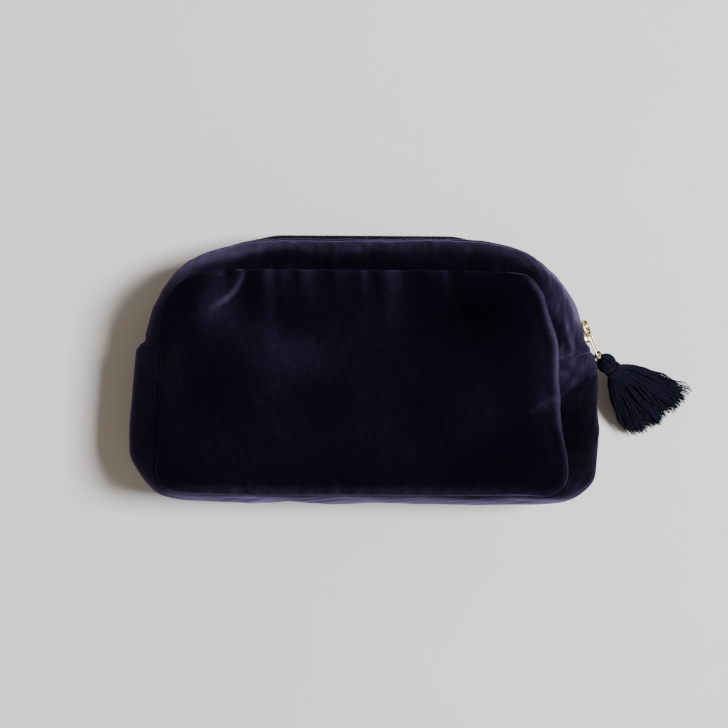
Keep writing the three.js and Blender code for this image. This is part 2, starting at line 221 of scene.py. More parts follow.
def make_piece(name, points, faces, material, nap_and_shading=None, weld=False):
    """A mesh object from points in millimetres. The optional brightness per point is the pile's nap with
    painted light and shade in it, one value for each point.
    """
    mesh = bpy.data.meshes.new(name)
    mesh.from_pydata((np.asarray(points).reshape(-1, 3) * MM).tolist(), [], faces)
    if nap_and_shading is not None:
        values = mesh.attributes.new("nap_and_shading", "FLOAT", "POINT").data
        values.foreach_set("value", np.asarray(nap_and_shading, np.float32).ravel())
    if weld:
        edit = bmesh.new()
        edit.from_mesh(mesh)
        bmesh.ops.remove_doubles(edit, verts=edit.verts, dist=1e-6)
        bmesh.ops.recalc_face_normals(edit, faces=edit.faces)
        edit.to_mesh(mesh)
        edit.free()
    mesh.polygons.foreach_set("use_smooth", [True] * len(mesh.polygons))
    mesh.materials.append(material)
    mesh.update()
    piece = bpy.data.objects.new(name, mesh)
    bpy.context.scene.collection.objects.link(piece)
    return piece


def thicken(piece, thickness):
    """Give a surface a thickness on its inner side."""
    solid = piece.modifiers.new("thickness", "SOLIDIFY")
    solid.thickness = thickness * MM
    solid.offset = -1
    return piece


class Bundle:
    """Points and faces of several tubes and plates that make one piece."""

    def __init__(self):
        self.points, self.faces, self.count = [], [], 0

    def add(self, points, faces):
        self.points.append(points)
        self.faces += [tuple(i + self.count for i in face) for face in faces]
        self.count += len(points)

    def tube(self, path, radius, reference, sides=8, flat=1.0, lobes=0, lobe=0.0, pitch=1.0, closed=False):
        """A tube along a path. flat scales it one way, and lobes turn once each pitch, as plies do."""
        path = np.asarray(path, float)
        if closed:
            tangent = np.roll(path, -1, 0) - np.roll(path, 1, 0)
        else:
            tangent = np.gradient(path, axis=0)
        tangent /= np.linalg.norm(tangent, axis=1, keepdims=True)
        across = np.cross(tangent, np.broadcast_to(reference, path.shape))
        across /= np.linalg.norm(across, axis=1, keepdims=True)
        up = np.cross(tangent, across)
        step = np.linalg.norm(np.diff(path, axis=0), axis=1)
        run = np.concatenate([[0], np.cumsum(step)])
        turn = np.linspace(0, 2 * math.pi, sides, endpoint=False)[None]
        size = np.broadcast_to(radius, len(path))[:, None] * (1 + lobe * np.cos(lobes * turn))
        angle = turn + (2 * math.pi * run / pitch)[:, None] * (lobes > 0)
        ring = (path[:, None] + (size * np.cos(angle))[..., None] * across[:, None]
                + (size * np.sin(angle) * flat)[..., None] * up[:, None])
        points = ring.reshape(-1, 3)
        faces = grid_faces(len(path), sides, closed, True)
        if not closed:
            near = path[0] - tangent[0] * size[0, 0] * 0.4
            far = path[-1] + tangent[-1] * size[-1, 0] * 0.4
            first, last, start = len(points), len(points) + 1, (len(path) - 1) * sides
            points = np.concatenate([points, [near, far]])
            faces += [(first, k, (k + 1) % sides) for k in range(sides)]
            faces += [(last, start + (k + 1) % sides, start + k) for k in range(sides)]
        self.add(points, faces)

    def plate(self, outline, low, high, bevel, axes, steps=3):
        """A rounded plate, placed on an origin with its X and Y axes."""
        points, faces = rounded_plate(outline, low, high, bevel, steps)
        self.add(placed(points, *axes), faces)

    def piece(self, name, material):
        return make_piece(name, np.concatenate(self.points), self.faces, material)


random = np.random.default_rng(11)


def ripples(x, y, wavelength, height, count=9, stretch=1.0):
    """Soft waves in random directions. A stretch over 1 draws them out along y."""
    total = np.zeros(np.broadcast(x, y).shape)
    for _ in range(count):
        angle, phase = random.uniform(0, 2 * math.pi, 2)
        scale = 2 * math.pi / (wavelength * random.uniform(0.6, 1.5))
        total += np.sin(scale * (x * math.cos(angle) + y * math.sin(angle) / stretch) + phase)
    return total * height / math.sqrt(count)


def spot(x, y, centre_x, centre_y, radius_x, radius_y, turn=0.0):
    """A soft round patch, 1 in its middle."""
    c, s = math.cos(math.radians(turn)), math.sin(math.radians(turn))
    dx, dy = x - centre_x, y - centre_y
    return np.exp(-(((dx * c + dy * s) / radius_x) ** 2 + ((dy * c - dx * s) / radius_y) ** 2))


def beside(x, y, path):
    """Signed distance to a path, positive on its left, and how far along it the nearest point is, 0 to 1."""
    fine = np.array(path, float)
    t = np.linspace(0, len(fine) - 1, 60)
    fine = np.stack([np.interp(t, range(len(path)), fine[:, k]) for k in (0, 1)], 1)
    tangent = np.gradient(fine, axis=0)
    tangent /= np.linalg.norm(tangent, axis=1, keepdims=True)
    dx, dy = x[..., None] - fine[:, 0], y[..., None] - fine[:, 1]
    nearest = (dx**2 + dy**2).argmin(-1)
    near_x = np.take_along_axis(dx, nearest[..., None], -1)[..., 0]
    near_y = np.take_along_axis(dy, nearest[..., None], -1)[..., 0]
    side = np.sign(tangent[nearest, 0] * near_y - tangent[nearest, 1] * near_x)
    return np.hypot(near_x, near_y) * side, nearest / (len(fine) - 1)


# ---------------------------------------------------------------- the velvet's relief, nap and painted light and shade

# Grooves below the top seam: where, how deep, how long and how wide. Between them the cloth stands up in
# tucks, which get a painted highlight while the grooves get painted shade: where, how wide, how light and how
# long.
PUCKERS = [
    (-50, 0.8, 15, 3.0), (-32, 1.0, 15, 2.2), (-17.5, 1.1, 16, 2.8), (-5, 0.5, 8, 2.2),
    (4.8, 1.0, 15, 2.2), (24.5, 1.1, 14, 3.4), (41.5, 1.2, 20, 2.6)]
TUCKS = [
    (-44, 2.8, 0.42, 20), (-36.6, 2.4, 0.30, 6), (-26.5, 3.6, 0.46, 9), (-11.5, 3.2, 0.24, 5),
    (-0.2, 2.2, 0.42, 9), (13, 4.4, 0.50, 11), (30.5, 2.6, 0.18, 5), (36.6, 1.6, 0.40, 10)]
# The pleat at the upper left runs down and to the left, and a fold meets the ridge at the right.
PLEAT = [(-55, 46), (-55.3, 42.4), (-56.6, 38.8), (-59, 34.6), (-62.6, 31), (-67.2, 28), (-71.5, 25)]
PLEAT_CURVE = closed_curve(PLEAT + PLEAT[-2:0:-1], 8)[:8 * (len(PLEAT) - 1) + 1]
RIGHT_FOLD = [(76, -19), (80, -16.5), (84, -14), (88.5, -13)]
# Patches on the front, of brushed nap and of painted light on its bulges and painted shade in its hollows:
# place, radii, turn and how much lighter or darker.
NAP_AND_SHADE_PATCHES = [
    (-67, 37, 6.5, 9, 0, 0.26), (-69, 26, 9.5, 8, 30, 0.40), (-65.5, 43.2, 5, 1.4, 0, 0.30),
    (-61.3, 43.6, 2.0, 2.2, 0, -0.60), (-82, 36, 5, 9, -10, -0.20), (-51, 34, 4, 11, 0, -0.22),
    (-33, 8, 26, 11, -28, 0.32), (12, 28, 7, 11, 0, 0.12), (-31, 24, 9, 7, 0, -0.08),
    (54, 27, 25, 19, 0, -0.46), (83, -15, 7, 8, 0, 0.24), (-45, -22, 26, 16, 10, 0.10),
    (20, -14, 30, 16, 0, 0.05), (68, -38, 22, 14, 0, -0.24), (-87, -4, 5, 30, 0, 0.10)]


def below_seam(y):
    return np.maximum(TOP_SEAM_Y - y, 0)


def puckers(x, y):
    """Grooves drawn in by the gathered top seam."""
    top = below_seam(y)
    total = np.zeros_like(x)
    for place, depth, length, width in PUCKERS:
        total += depth * band(x - 0.08 * top, place, width * (1 + top / 30)) * np.exp(-top / length)
    return total


def tucks(x, y):
    """How much the cloth stands up between the grooves."""
    top = below_seam(y)
    total = np.zeros_like(x)
    for place, width, strength, length in TUCKS:
        total += strength * np.exp(-np.abs((x - place - 0.05 * top) / width) ** 3 - top / length)
    return total


def pleat_highlight(x, y):
    """The pleat's painted highlight along its crease: crisp on its right, soft on its left, strongest half
    way.
    """
    side, run = beside(x, y, PLEAT_CURVE)
    width = np.where(side > 0, 0.7, 1.9)
    return band(side, 0, width) * (0.55 + 1.8 * run * (1 - run)) * (1 - smooth(run, 0.7, 1.0))


def stroke(x, y, path, width):
    """A soft line along a path, 1 in its middle."""
    side, run = beside(x, y, path)
    return band(side, 0, width) * (1 - smooth(run, 0.9, 1.0))


def front_relief(x, y, inward):
    """Height that wrinkles add to the front panel."""
    relief = 1.1 * tucks(x, y) - puckers(x, y)
    side, run = beside(x, y, PLEAT)
    relief += (1 - run) ** 0.6 * (1.7 * band(side, -1.6, 2.0) - 1.5 * band(side, 1.6, 1.9))
    relief += 1.3 * spot(x, y, -69, 33, 11, 9, 30) - 1.2 * spot(x, y, -61.3, 44, 2.2, 2.6)
    relief += 0.9 * spot(x, y, -30, 4, 24, 12, -28) - 1.3 * spot(x, y, 54, 26, 26, 18)
    relief += 1.0 * stroke(x, y, RIGHT_FOLD, 2.2)
    relief += ripples(x, y, 46, 0.32) + ripples(x, y, 15, 0.12)
    return relief * (1 - np.exp(-inward / 2.0))


def front_nap_and_shading(x, y, inward):
    """Brightness of the front panel's nap, with painted highlights on its tucks, rims, ridge, pleat and fold
    and painted shade in its grooves and hollows.
    """
    nap_and_shading = ripples(x, y, 34, 0.06) + ripples(x, y, 11, 0.025) + ripples(x, y, 4, 0.03, stretch=1.6) - 0.10
    for cx, cy, rx, ry, turn, strength in NAP_AND_SHADE_PATCHES:
        nap_and_shading = nap_and_shading + strength * spot(x, y, cx, cy, rx, ry, turn)
    # Painted highlight on the tucks and painted shade in the grooves below the top seam.
    nap_and_shading += tucks(x, y) + (0.10 - 0.15 * puckers(x, y)) * np.exp(-below_seam(y) / 22)
    # Painted highlight along the panel's rim under the top seam.
    nap_and_shading += 0.14 * band(inward, 0, 1.6) * smooth(y, 38, 44) * smooth(-x, -42, -34) * smooth(x, -56, -50)
    # Painted highlights along the pleat's crease and along the fold at the right.
    nap_and_shading += 0.65 * pleat_highlight(x, y) + 0.22 * stroke(x, y, RIGHT_FOLD, 1.8)
    # Painted highlight on the rim's ridge at the right, which faces the light.
    ridge = smooth(x, 68, 80) * (np.clip(0.85 + 0.011 * y, 0.22, 0.95) - 0.2 * smooth(y, 20, 32))
    nap_and_shading += ridge * (band(inward, 2.2, 1.2) + 0.3 * np.exp(-inward / 8))
    # Painted sheen on the rolled rim along the bottom, with streaks of pile in it.
    speckle = 1 + ripples(x, 0.7 * y, 7, 0.14) + ripples(x, y, 2.5, 0.10)
    nap_and_shading += 0.54 * smooth(-y, 51, 57.5) * (1 - 0.6 * smooth(x, 50, 86)) * speckle
    return nap_and_shading


def gusset_relief(points):
    """Distance that wrinkles push the gusset and the facings outward."""
    x, y, z = points[..., 0], points[..., 1], points[..., 2]
    relief = ripples(x + z, y - 0.6 * z, 34, 0.45) + ripples(x - z, y + z, 12, 0.12)
    relief = relief * (1 - 0.7 * smooth(-x, 60, 85))
    right = x > 70
    relief += right * (0.7 * spot(y, z, -3, 38, 7, 9) - 1.2 * spot(y, z, -13, 40, 8, 7, 20))
    relief -= right * 0.8 * spot(y, z, 15, 44, 6, 3)
    tassel_dent = 3.4 * spot(y, z, 2.5, 20, 9, 5.6)
    return relief - right * tassel_dent


def gusset_nap_and_shading(points):
    """Brightness of the gusset's and the facings' nap, with painted light and shade: lighter on the right
    toward the light, darker on the left and beside the seams.
    """
    x, y, z = points[..., 0], points[..., 1], points[..., 2]
    nap_and_shading = ripples(x + z, y - z, 22, 0.08) + ripples(x, y + z, 6, 0.08) + ripples(x, 0.3 * y, 3, 0.08)
    right, left, top = smooth(x, 74, 88), smooth(-x, 74, 88), smooth(y, 36, 48)
    from_seam = FRONT_Z - z
    near_seam = 1 - smooth(from_seam, 3.5, 9.0)
    lip = smooth(from_seam, 14.5, 16.5)
    outer = smooth(from_seam, 8, 14)
    facing = smooth(y, 6, 14)
    # Right side, toward the light: painted light on a facing that lightens outward, painted shade beside the
    # seam, a painted highlight and shade on a crease low on it, then a painted lit patch below the cross seam
    # down to a curved edge, then dark.
    crease_shading = 0.50 * spot(z, z, 43.2, 0, 1.7, 99) - 0.35 * spot(z, z, 46, 0, 1.3, 99)
    nap_and_shading += right * facing * (0.46 - 0.42 * band(from_seam, 0, 3.0) + 0.95 * outer * smooth(y, 16, 25))
    nap_and_shading += right * facing * (1 - smooth(y, 19, 26)) * crease_shading
    edge = -2.5 - 11 * np.clip((z - 36) / 13, 0, 1) ** 2
    below = right * (1 - facing)
    nap_and_shading += below * (0.46 * smooth(y, edge - 1.5, edge + 1.5) + 0.04)
    nap_and_shading -= below * 0.55 * spot(y, z, -26, 42, 20, 18)
    # Top: painted sheen beside the lip, painted shade in the valley beside the seam. The left corner is
    # lighter nearly to the seam.
    corner = smooth(-x, 36, 62) * smooth(y, 32, 42)
    nap_and_shading += top * (1 - right) * (0.32 - 0.62 * near_seam - 0.28 * lip)
    nap_and_shading += corner * (0.25 + 0.42 * smooth(from_seam, 1.5, 6.5) - 0.12 * outer)
    # Left side, away from the light: painted shade, darker downward and beside the seam. The front half of
    # the strip along the base is dark too.
    low_left = 0.34 * smooth(y, -12, 4) - 0.16 * smooth(-y, 10, 30) - 0.2 * smooth(-y, 40, 50)
    nap_and_shading += left * (-0.16 + 0.35 * smooth(y, 14, 34) * outer - 0.15 * near_seam * smooth(y, 6, 14))
    nap_and_shading += left * (1 - smooth(y, 4, 8)) * low_left
    return nap_and_shading - smooth(-y, 54, 59) * 0.48 * (z > MID_Z)


# ---------------------------------------------------------------- the shell's surfaces

def gusset_radius(stations, z, fullness):
    """Radius of the gusset's smooth surface for each station and depth."""
    seam = np.where(z > MID_Z, stations.front[:, None], stations.rear[:, None])
    half = np.where(z > MID_Z, FRONT_Z - MID_Z, MID_Z - REAR_Z)
    out = np.clip(np.abs(z - MID_Z) / half, 0, 1)
    return seam + (stations.crest[:, None] - seam) * (1 - out**fullness)


def seam_pinch(stations, z):
    """How far the stitching draws the cloth in near the panels' seams."""
    from_seam = np.minimum(FRONT_Z - z, z - REAR_Z)
    return stations.pinch[:, None] * band(from_seam, 0, 1.8)


def panel_surface(stations, front, layer=0.0, rows=58, trim=0.0):
    """Points of a panel from its rim to the spine, and how far each lies from the rim."""
    rim = (stations.front if front else stations.rear)[:, None] - stations.pinch[:, None] - trim
    share = np.linspace(0, 1, rows)[None] ** 1.3
    inward = rim * share
    if front:
        height = EDGE_ROLL * (0.22 + 0.78 * np.maximum(stations.right, stations.low))[:, None]
        width = EDGE_ROLL_WIDTH * (1 + 0.6 * stations.low)[:, None]
        roll = height * (1 - np.exp(-(inward + trim) / width))
        z = FRONT_Z + roll + (FRONT_CROWN + EDGE_ROLL - height) * (1 - (1 - share) ** 3.2) - layer
    else:
        z = REAR_Z * np.exp(-(((inward + trim) / 3.0) ** 1.5)) + layer
    return stations.place(rim - inward, z), inward


def front_panel_surface():
    """Points of the front panel, whose rim leans out and stands up at the right and the base, and its nap
    with painted light and shade.
    """
    points, inward = panel_surface(all_stations, True)
    x, y = points[..., 0], points[..., 1]
    right = np.clip((x - 70) / 10, 0, 1)
    station = np.arange(len(all_stations.x))[:, None]
    wave = 0.9 * np.sin(station / 6.0) * np.sin(station / 17.0 + 1) * right
    lean = (0.7 + 0.9 * right + 0.5 * wave) * band(inward, 1.9, 1.7)
    rim_strength = 0.1 + 1.3 * np.clip((x - 62) / 20, 0, 1) + 0.5 * np.clip((-50 - y) / 6, 0, 1)
    ridge = (rim_strength + 0.4 * wave) * band(inward, 2.2, 1.6)
    valley = 0.6 * rim_strength * band(inward, 6.6, 2.8)
    points[..., 0] += lean * np.cos(all_stations.angle)[:, None]
    points[..., 1] += lean * np.sin(all_stations.angle)[:, None]
    points[..., 2] += ridge - valley + front_relief(x, y, inward)
    return points, front_nap_and_shading(x, y, inward)


def base_surface(layer=0.0, relief=True, trim=0.0, rows=64):
    """Points of the base gusset, or of a layer inside it."""
    z = np.linspace(REAR_Z + trim, FRONT_Z - trim, rows)[None]
    run = base_stations.along()
    from_end = np.minimum(run, run[-1] - run)[:, None]
    inside = np.clip((FRONT_Z - MID_Z - np.abs(z - MID_Z)) / 6, 0, 1)
    radius = gusset_radius(base_stations, z, BASE_FULLNESS) - seam_pinch(base_stations, z)
    radius = radius - inside * 0.9 * band(from_end, 0, 1.4)
    if relief:
        radius = radius + gusset_relief(base_stations.place(radius, z)) * np.clip(from_end / 6, 0, 1) * inside
    return base_stations.place(radius - layer, z)


def facing_profile(side):
    """Rows of a facing from the panel's seam to the lip, and the roll of its folded edge: depth and drop."""
    seam = FRONT_Z if side > 0 else REAR_Z
    lip = MID_Z + side * (LIP + LIP_ROLL)
    flat = np.linspace(seam, lip, FACING_ROWS)
    turn = np.linspace(0, math.pi, 9)[1:]
    roll = lip - side * LIP_ROLL * np.sin(turn)
    drop = LIP_ROLL * (1 - np.cos(turn))
    under = lip + side * np.array([1.5, 3.0])
    z = np.concatenate([flat, roll, under])
    return z, np.concatenate([np.zeros(len(flat)), drop, np.full(2, 2 * LIP_ROLL)])


def facing_surface(side):
    """Points of a facing, with its gathers, its row of stitches and its folded edge."""
    z, drop = facing_profile(side)
    z, drop = z[None], drop[None]
    run = zip_stations.along()[:, None]
    from_end = np.minimum(run, run[-1] - run)
    from_lip = np.abs(z - MID_Z) - LIP
    radius = gusset_radius(zip_stations, z, ZIP_FULLNESS) - seam_pinch(zip_stations, z)
    gather = 0.10 * np.sin(run / 1.9 + 2.6 * np.sin(run / 7)) * np.exp(-np.maximum(from_lip, 0) / 5)
    stitch = 0.35 * band(from_lip, STITCHES_FROM_LIP, 0.7)
    points = zip_stations.place(radius, z)
    inside = np.clip(np.minimum(FRONT_Z - z, z - REAR_Z) / 6, 0, 1)
    swell = gusset_relief(points) * np.clip(from_end / 6, 0, 1) * inside * np.clip(from_lip / 5, 0.25, 1)
    end_dip = 0.8 * band(from_end, 0, 1.6)
    return zip_stations.place(radius - drop + gather - stitch + swell - end_dip, z)


# ---------------------------------------------------------------- materials

class Look:
    """A procedural material around one Principled shader."""

    def __init__(self, name, **sockets):
        self.material = bpy.data.materials.new(name)
        self.material.use_nodes = True
        self.tree = self.material.node_tree
        self.shader = self.tree.nodes["Principled BSDF"]
        for socket, value in sockets.items():
            self.shader.inputs[socket.replace("_", " ")].default_value = value
        self.coordinates = self.node("ShaderNodeTexCoord").outputs["Object"]

    def node(self, kind, **inputs):
        made = self.tree.nodes.new(kind)
        for socket, value in inputs.items():
            self.feed(value, made.inputs[socket.replace("_", " ")])
        return made

    def feed(self, value, socket):
        if isinstance(value, bpy.types.NodeSocket):
            self.tree.links.new(value, socket)
        else:
            socket.default_value = value

    def stretched(self, x=1.0, y=1.0, z=1.0):
        return self.node("ShaderNodeMapping", Vector=self.coordinates, Scale=(x, y, z)).outputs["Vector"]

    def noise(self, feature, detail=3.0, vector=None):
        """Noise whose features are about that many millimetres wide."""
        vector = vector or self.coordinates
        made = self.node("ShaderNodeTexNoise", Vector=vector, Scale=1 / (feature * MM), Detail=detail)
        return made.outputs["Fac"]

    def math(self, operation, a, b=0.0):
        made = self.tree.nodes.new("ShaderNodeMath")
        made.operation = operation
        self.feed(a, made.inputs[0])
        self.feed(b, made.inputs[1])
        return made.outputs[0]

    def ramp(self, factor, *stops):
        made = self.node("ShaderNodeValToRGB", Fac=factor)
        elements = made.color_ramp.elements
        while len(elements) < len(stops):
            elements.new(0.5)
        for element, (place, colour) in zip(elements, stops):
            element.position = place
            element.color = (*colour, 1)
        return made.outputs["Color"]

    def colour(self, socket):
        self.feed(socket, self.shader.inputs["Base Color"])

    def bump(self, height, depth, strength=1.0):
        normal = self.node("ShaderNodeBump", Height=height, Distance=depth * MM, Strength=strength)
        previous = self.shader.inputs["Normal"].links
        if previous:
            self.feed(previous[0].from_socket, normal.inputs["Normal"])
        self.feed(normal.outputs["Normal"], self.shader.inputs["Normal"])


def velvet():
    """A dark pile whose brightness follows the attribute of nap with painted light and shade, with fine noise
    over it.
    """
    look = Look("velvet", Roughness=1.0, Specular_IOR_Level=0.0, Sheen_Weight=0.30, Sheen_Roughness=0.34,
                Sheen_Tint=(0.50, 0.40, 0.80, 1))
    nap_and_shading = look.tree.nodes.new("ShaderNodeAttribute")
    nap_and_shading.attribute_name = "nap_and_shading"
    mottle = look.math("MULTIPLY", look.math("SUBTRACT", look.noise(1.3, 4), 0.5), 0.22)
    fine = look.noise(0.45, 2, look.stretched(1, 0.6, 1))
    grain = look.math("MULTIPLY", look.math("SUBTRACT", fine, 0.5), 0.55)
    level = look.math("ADD", look.math("ADD", nap_and_shading.outputs["Fac"], mottle), grain)
    look.colour(look.ramp(look.math("ADD", look.math("MULTIPLY", level, 0.5), 0.3),
                          (0.0, (0.0006, 0.0007, 0.0012)), (0.3, (0.0029, 0.0021, 0.0050)),
                          (0.5, (0.0080, 0.0060, 0.0150)), (0.75, (0.026, 0.0205, 0.044)),
                          (1.0, (0.068, 0.058, 0.108))))
    look.bump(look.noise(0.5, 4), 0.2, 0.7)
    look.bump(look.noise(2.6, 4), 0.35, 0.45)
    return look.material


def yarn(name):
    """Soft navy cotton, for the tassel and for sewing thread."""
    look = Look(name, Roughness=0.95, Specular_IOR_Level=0.03, Sheen_Weight=0.08, Sheen_Roughness=0.5,
                Sheen_Tint=(0.4, 0.4, 0.8, 1))
    look.colour(look.ramp(look.noise(1.1, 3), (0.25, (0.0018, 0.0018, 0.0045)),
                          (0.8, (0.0062, 0.0058, 0.0140))))
    look.bump(look.noise(0.25, 2), 0.06, 0.6)
    return look.material


def woven(name, thread, low, high):
    """Plain weave: two sets of ribs at right angles."""
    look = Look(name, Roughness=0.8, Specular_IOR_Level=0.25, Sheen_Weight=0.15, Sheen_Roughness=0.5)
    scale = 2 * math.pi / (thread * MM)
    parts = look.node("ShaderNodeSeparateXYZ", Vector=look.coordinates).outputs
    warp = look.math("SINE", look.math("MULTIPLY", look.math("ADD", parts["X"], parts["Y"]), scale * 0.7))
    weft = look.math("SINE", look.math("MULTIPLY", look.math("SUBTRACT", parts["Z"],
                     look.math("SUBTRACT", parts["X"], parts["Y"])), scale * 0.7))
    weave = look.math("MULTIPLY", warp, weft)
    level = look.math("ADD", look.math("MULTIPLY", weave, 0.2), look.noise(4, 4))
    look.colour(look.ramp(level, (0.3, low), (0.75, high)))
    look.bump(weave, 0.05, 0.8)
    return look.material


def coil_plastic():
    look = Look("zip_coil", Roughness=0.6, Specular_IOR_Level=0.12)
    look.colour(look.ramp(look.noise(2.5, 2), (0.3, (0.0025, 0.0026, 0.005)), (0.8, (0.006, 0.006, 0.012))))
    look.bump(look.noise(0.3, 2), 0.02, 0.5)
    return look.material


def gold():
    look = Look("gold_metal", Metallic=1.0, Roughness=0.24)
    look.colour(look.ramp(look.noise(1.6, 4), (0.35, (0.58, 0.45, 0.25)), (0.7, (0.74, 0.61, 0.40))))
    roughness = look.math("ADD", look.math("MULTIPLY", look.noise(0.9, 4), 0.22), 0.24)
    look.feed(roughness, look.shader.inputs["Roughness"])
    look.bump(look.noise(0.22, 3), 0.012, 0.5)
    return look.material


def wadding_fibre():
    look = Look("wadding", Roughness=0.95, Specular_IOR_Level=0.1)
    look.colour(look.ramp(look.noise(1.5, 5), (0.3, (0.62, 0.60, 0.55)), (0.7, (0.80, 0.79, 0.75))))
    look.bump(look.noise(0.8, 4), 0.3, 0.8)
    return look.material


def floor_paint():
    look = Look("floor", Roughness=0.75, Specular_IOR_Level=0.2)
    look.colour(look.ramp(look.noise(60, 5), (0.2, (0.652, 0.644, 0.630)), (0.8, (0.680, 0.674, 0.662))))
    look.bump(look.noise(7, 4), 0.15, 0.35)
    return look.material


VELVET = velvet()
YARN = yarn("tassel_yarn")
THREAD = yarn("sewing_thread")
LINING = woven("lining_cotton", 0.7, (0.018, 0.020, 0.046), (0.032, 0.035, 0.072))
TAPE = woven("zip_tape", 0.55, (0.006, 0.0065, 0.014), (0.012, 0.013, 0.027))
COIL = coil_plastic()
GOLD = gold()
WADDING = wadding_fibre()

# ---------------------------------------------------------------- velvet, wadding and lining pieces


def rides(piece, body, slot, *nodes):
    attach(piece, body)
    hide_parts(*nodes)


def bends_with_lip(piece, slot, *nodes):
    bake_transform(piece)
    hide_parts(*nodes)


def beside_zip(piece, side, slot, *kinds):
    """The front's piece, its transform baked, replaces the front's node and the corner's node. The rear's
    doesn't move.
    """
    if side > 0:
        bends_with_lip(piece, slot, *(f"{kind}_front{end}" for kind in kinds for end in ("", "_corner")))
    else:
        rides(piece, "pouch", slot, *(f"{kind}_rear" for kind in kinds))


def panel_piece(name, points, material, nap_and_shading=None):
    stations, rows = points.shape[:2]
    return make_piece(name, points, grid_faces(stations, rows, wrap_rows=True), material, nap_and_shading, weld=True)


def strip_piece(name, points, material, nap_and_shading=None):
    return make_piece(name, points, grid_faces(*points.shape[:2]), material, nap_and_shading)


def velvet_pieces(facings):
    points, nap_and_shading = front_panel_surface()
    front = thicken(panel_piece("front_panel_velvet", points, VELVET, nap_and_shading), VELVET_THICK)
    bends_with_lip(front, "velvet", "front_panel")

    points, _ = panel_surface(all_stations, False)
    nap_and_shading = ripples(points[..., 0], points[..., 1], 24, 0.12)
    rear = thicken(panel_piece("rear_panel_velvet", points, VELVET, nap_and_shading), VELVET_THICK)
    rides(rear, "pouch", "velvet", "rear_panel")

    points = base_surface()
    base = thicken(strip_piece("base_gusset_velvet", points, VELVET, gusset_nap_and_shading(points)), VELVET_THICK)
    rides(base, "pouch", "velvet", "base_gusset")

    for side, label in ((1, "front"), (-1, "rear")):
        nap_and_shading = gusset_nap_and_shading(facings[side])
        facing = thicken(strip_piece(f"zip_facing_{label}_velvet", facings[side], VELVET, nap_and_shading), FACING_THICK)
        beside_zip(facing, side, "velvet", "zip_facing")


def inner_pieces():
    """Wadding and lining, which follow the velvet inside it."""
    for kind, layer, thickness, material in (("wadding", 1.9, 2.0, WADDING), ("lining", 4.6, 0.5, LINING)):
        points, _ = panel_surface(all_stations, True, layer + FRONT_INNER_DEEPER, 24, 3.0)
        front = thicken(panel_piece(f"front_{kind}_layer", points, material), thickness)
        bends_with_lip(front, kind, f"front_{kind}")
        points, _ = panel_surface(all_stations, False, layer, 24, 3.0)
        rear = thicken(panel_piece(f"rear_{kind}_layer", points, material), thickness)
        rides(rear, "pouch", kind, f"rear_{kind}")
    for kind, layer, thickness, material in (("wadding", 2.9, 1.2, WADDING), ("lining", 4.5, 0.5, LINING)):
        points = base_surface(layer, relief=False, trim=6.5, rows=26)
        base = thicken(strip_piece(f"base_{kind}_layer", points, material), thickness)
        rides(base, "pouch", kind, f"base_{kind}")
    for side, label in ((1, "front"), (-1, "rear")):
        z = MID_Z + side * np.linspace(6.5, 15.5, 16)[None]
        points = zip_stations.place(gusset_radius(zip_stations, z, ZIP_FULLNESS) - 3.6, z)
        piece = thicken(strip_piece(f"zip_facing_lining_{label}_layer", points, LINING), 0.5)
        beside_zip(piece, side, "lining", "zip_facing_lining")


# ---------------------------------------------------------------- zip

COIL_PITCH = 1.5
COIL_HEIGHT = -1.05
COIL_FROM_MIDDLE = 1.15
# Angles of the rays at the ends of the zip.
COIL_RIGHT, COIL_LEFT = math.radians(16.6), math.pi - math.radians(19.6)
TOP_STOP, BOTTOM_STOP = math.radians(15.4), math.pi - math.radians(18.6)


def zip_path(start, end, spacing=0.125):
    """Points of the zip's centre line between two angles, and the outward direction at each."""
    legs = [((SPINE_X, SPINE_X), (start, QUARTER), ZIP_RADIUS * (QUARTER - start)),
            ((SPINE_X, -SPINE_X), (QUARTER, QUARTER), 2 * SPINE_X),
            ((-SPINE_X, -SPINE_X), (QUARTER, end), ZIP_RADIUS * (end - QUARTER))]
    x, angle = [], []
    for (x0, x1), (a0, a1), length in legs:
        count = int(length / spacing)
        x.append(np.linspace(x0, x1, count, endpoint=False))
        angle.append(np.linspace(a0, a1, count, endpoint=False))
    x, angle = np.concatenate(x), np.concatenate(angle)
    outward = np.stack([np.cos(angle), np.sin(angle), np.zeros_like(angle)], 1)
    centre = np.stack([x, np.full_like(x, SPINE_Y), np.full_like(x, MID_Z)], 1)
    return centre + ZIP_RADIUS * outward, outward


def coil_piece(side, name):
    """One nylon coil: a monofilament wound round a core at the tape's edge, one turn each pitch."""
    path, outward = zip_path(COIL_RIGHT, COIL_LEFT)
    run = np.concatenate([[0], np.cumsum(np.linalg.norm(np.diff(path, axis=0), axis=1))])
    turn = 2 * math.pi * run / COIL_PITCH + (math.pi if side < 0 else 0)
    depth = side * (COIL_FROM_MIDDLE - 1.35 * np.cos(turn))
    proud = 0.6 * smooth(outward[:, 1], 0.985, 1.0)
    height = COIL_HEIGHT + proud + 0.85 * np.sin(turn) + 0.12 * np.sin(2 * turn)
    wire = path + outward * height[:, None] + np.array([0, 0, 1.0]) * depth[:, None]
    bundle = Bundle()
    bundle.tube(wire, 0.34, np.gradient(path, axis=0), sides=6)
    core = path + outward * (COIL_HEIGHT + proud)[:, None] + np.array([0, 0, side * COIL_FROM_MIDDLE])
    bundle.tube(core[::8], 0.62, (0, 0, 1), sides=10)
    return bundle.piece(name, COIL)


